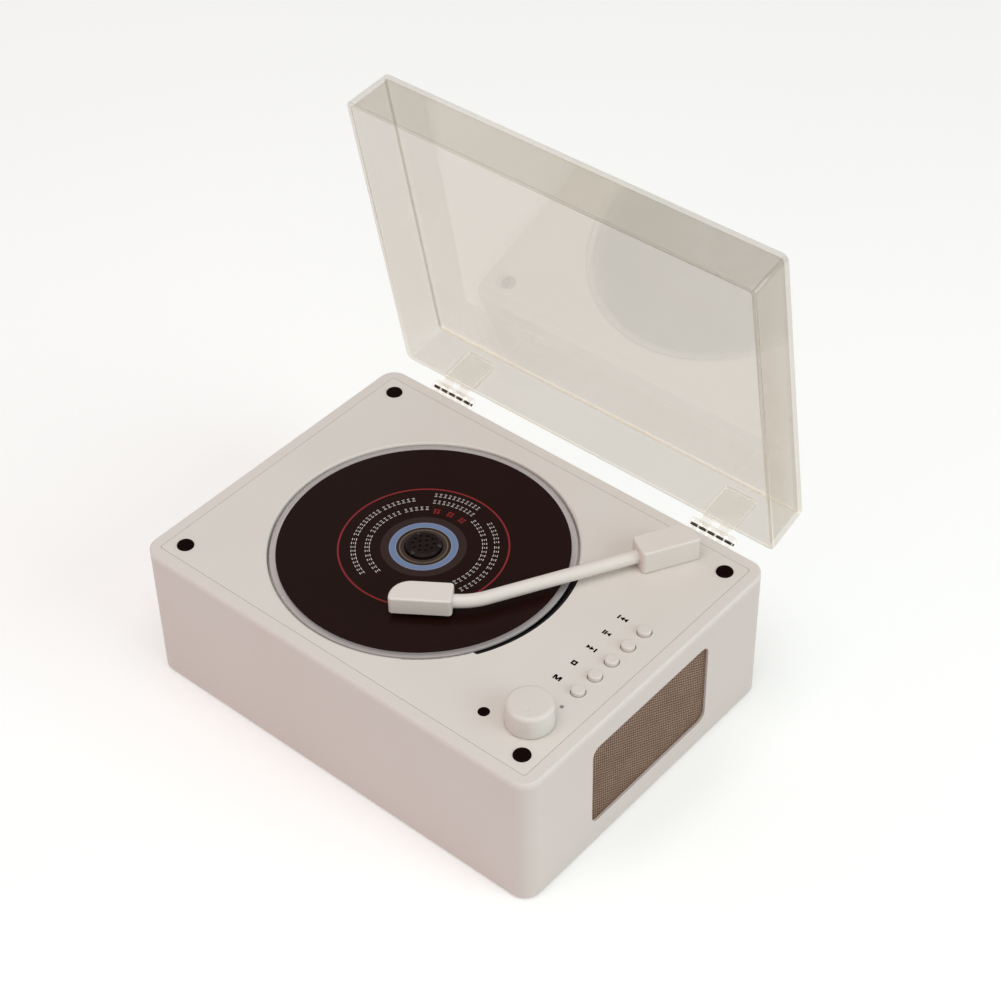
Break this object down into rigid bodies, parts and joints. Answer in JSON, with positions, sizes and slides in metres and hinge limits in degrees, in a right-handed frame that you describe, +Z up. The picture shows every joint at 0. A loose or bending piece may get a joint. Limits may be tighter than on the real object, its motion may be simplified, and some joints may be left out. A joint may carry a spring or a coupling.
{
  "type": "desktop cd player",
  "caption": "Box-shaped desktop disc player with a top-loading well, a swinging arm, push buttons, a volume knob, a side speaker and a clear hinged lid that stands open.",
  "frame": {"origin": "on the table, under the middle of the case", "axes": "+X to the right along the long side, +Y to the hinged rear side, +Z up"},
  "size_m": [0.195, 0.1722, 0.2094],
  "materials": {
    "case_plastic": "satin moulded",
    "lid_clear": "clear polished",
    "black_plastic": "fine grain",
    "smoked_plastic": "polished",
    "light_clear": "polished",
    "rubber_black": "matt",
    "table_plastic": "satin",
    "grip_rubber": "matt",
    "steel": "brushed",
    "dark_steel": "blackened",
    "grille_metal": "satin",
    "cone_paper": "felted paper",
    "board_green": "solder mask",
    "control_metal": "plain",
    "gear_plastic": "satin",
    "lens_plastic": "polished",
    "disc_plastic": "printed and lacquered"
  },
  "bodies": {
    "player": {"audio_socket": "black_plastic", "base_cover": "case_plastic", "base_screws": "steel", "case_shell": "case_plastic", "control_board": "board_green", "control_board_screws": "steel", "deck_panel": "case_plastic", "deck_screws": "steel", "drive_chassis": "black_plastic", "drive_cover": "black_plastic", "drive_dampers": "rubber_black", "drive_screws": "steel", "guide_rods": "steel", "left_base_leaf": "lid_clear", "left_hinge_pin": "dark_steel", "main_board": "board_green", "main_board_screws": "steel", "power_inlet": "steel", "push_switches": "black_plastic", "receiver_window": "smoked_plastic", "right_base_leaf": "lid_clear", "right_hinge_pin": "dark_steel", "rubber_feet": "rubber_black", "screw_plugs": "black_plastic", "sled_motor": "steel", "speaker_baffle": "black_plastic", "speaker_cone": "cone_paper", "speaker_frame": "black_plastic", "speaker_grille": "grille_metal", "speaker_magnet": "steel", "spindle_motor": "steel", "status_light": "light_clear", "volume_control": "control_metal"},
    "lid": {"lid_cover": "lid_clear", "left_lid_leaf": "lid_clear", "right_lid_leaf": "lid_clear"},
    "arm": {"arm_block": "case_plastic", "arm_tube": "case_plastic", "arm_head": "case_plastic", "arm_pivot_pin": "steel", "arm_retaining_ring": "steel"},
    "knob": {"volume_knob": "case_plastic", "volume_shaft": "steel"},
    "turntable": {"disc_table": "table_plastic", "grip_ring": "grip_rubber", "catch_balls": "steel", "spindle_shaft": "steel", "compact_disc": "disc_plastic"},
    "sled": {"pickup_sled": "black_plastic"},
    "lens": {"pickup_lens": "lens_plastic"},
    "sled_gear": {"drive_gear": "gear_plastic"},
    "sled_pinion": {"motor_pinion": "gear_plastic"},
    "previous_key": {"previous_button": "case_plastic"},
    "play_key": {"play_button": "case_plastic"},
    "next_key": {"next_button": "case_plastic"},
    "stop_key": {"stop_button": "case_plastic"},
    "mode_key": {"mode_button": "case_plastic"}
  },
  "joints": [
    {"name": "lid_hinge", "type": "hinge", "parent": "player", "child": "lid", "pos_m": [0, 0.0772, 0.0612], "axis": [-1, 0, 0], "range_deg": [-79.5, 15.5]},
    {"name": "arm_swing", "type": "hinge", "parent": "player", "child": "arm", "pos_m": [0.0631, 0.0525, 0.064], "axis": [0, 0, 1], "range_deg": [-8, 28]},
    {"name": "volume_turn", "type": "hinge", "parent": "player", "child": "knob", "pos_m": [0.0772, -0.0461, 0.064], "axis": [0, 0, 1], "range_deg": [-150, 150]},
    {"name": "disc_spin", "type": "hinge", "parent": "player", "child": "turntable", "pos_m": [-0.0137, -0.0016, 0.0622], "axis": [0, 0, 1], "continuous": true},
    {"name": "gear_turn", "type": "hinge", "parent": "player", "child": "sled_gear", "pos_m": [0.0163, 0.0145, 0.053], "axis": [0, 0, 1], "range_deg": [-10, 535]},
    {"name": "sled_slide", "type": "slide", "parent": "player", "child": "sled", "axis": [1, 0, 0], "range_m": [0, 0.032]},
    {"name": "lens_focus", "type": "slide", "parent": "sled", "child": "lens", "axis": [0, 0, 1], "range_m": [-0.0004, 0.0006], "stiffness_N_per_m": 60, "springref_m": 0.00006},
    {"name": "pinion_turn", "type": "hinge", "parent": "player", "child": "sled_pinion", "pos_m": [0.0053, 0.0145, 0.053], "axis": [0, 0, 1], "range_deg": [-1815, 30]},
    {"name": "previous_press", "type": "slide", "parent": "player", "child": "previous_key", "axis": [0, 0, -1], "range_m": [0, 0.0008], "stiffness_N_per_m": 600, "springref_m": -0.0004},
    {"name": "play_press", "type": "slide", "parent": "player", "child": "play_key", "axis": [0, 0, -1], "range_m": [0, 0.0008], "stiffness_N_per_m": 600, "springref_m": -0.0004},
    {"name": "next_press", "type": "slide", "parent": "player", "child": "next_key", "axis": [0, 0, -1], "range_m": [0, 0.0008], "stiffness_N_per_m": 600, "springref_m": -0.0004},
    {"name": "stop_press", "type": "slide", "parent": "player", "child": "stop_key", "axis": [0, 0, -1], "range_m": [0, 0.0008], "stiffness_N_per_m": 600, "springref_m": -0.0004},
    {"name": "mode_press", "type": "slide", "parent": "player", "child": "mode_key", "axis": [0, 0, -1], "range_m": [0, 0.0008], "stiffness_N_per_m": 600, "springref_m": -0.0004}
  ],
  "couplings": [
    {"joint": "gear_turn", "follows": "sled_slide", "rad_per_m": 285.71},
    {"joint": "pinion_turn", "follows": "sled_slide", "rad_per_m": -971.43}
  ]
}
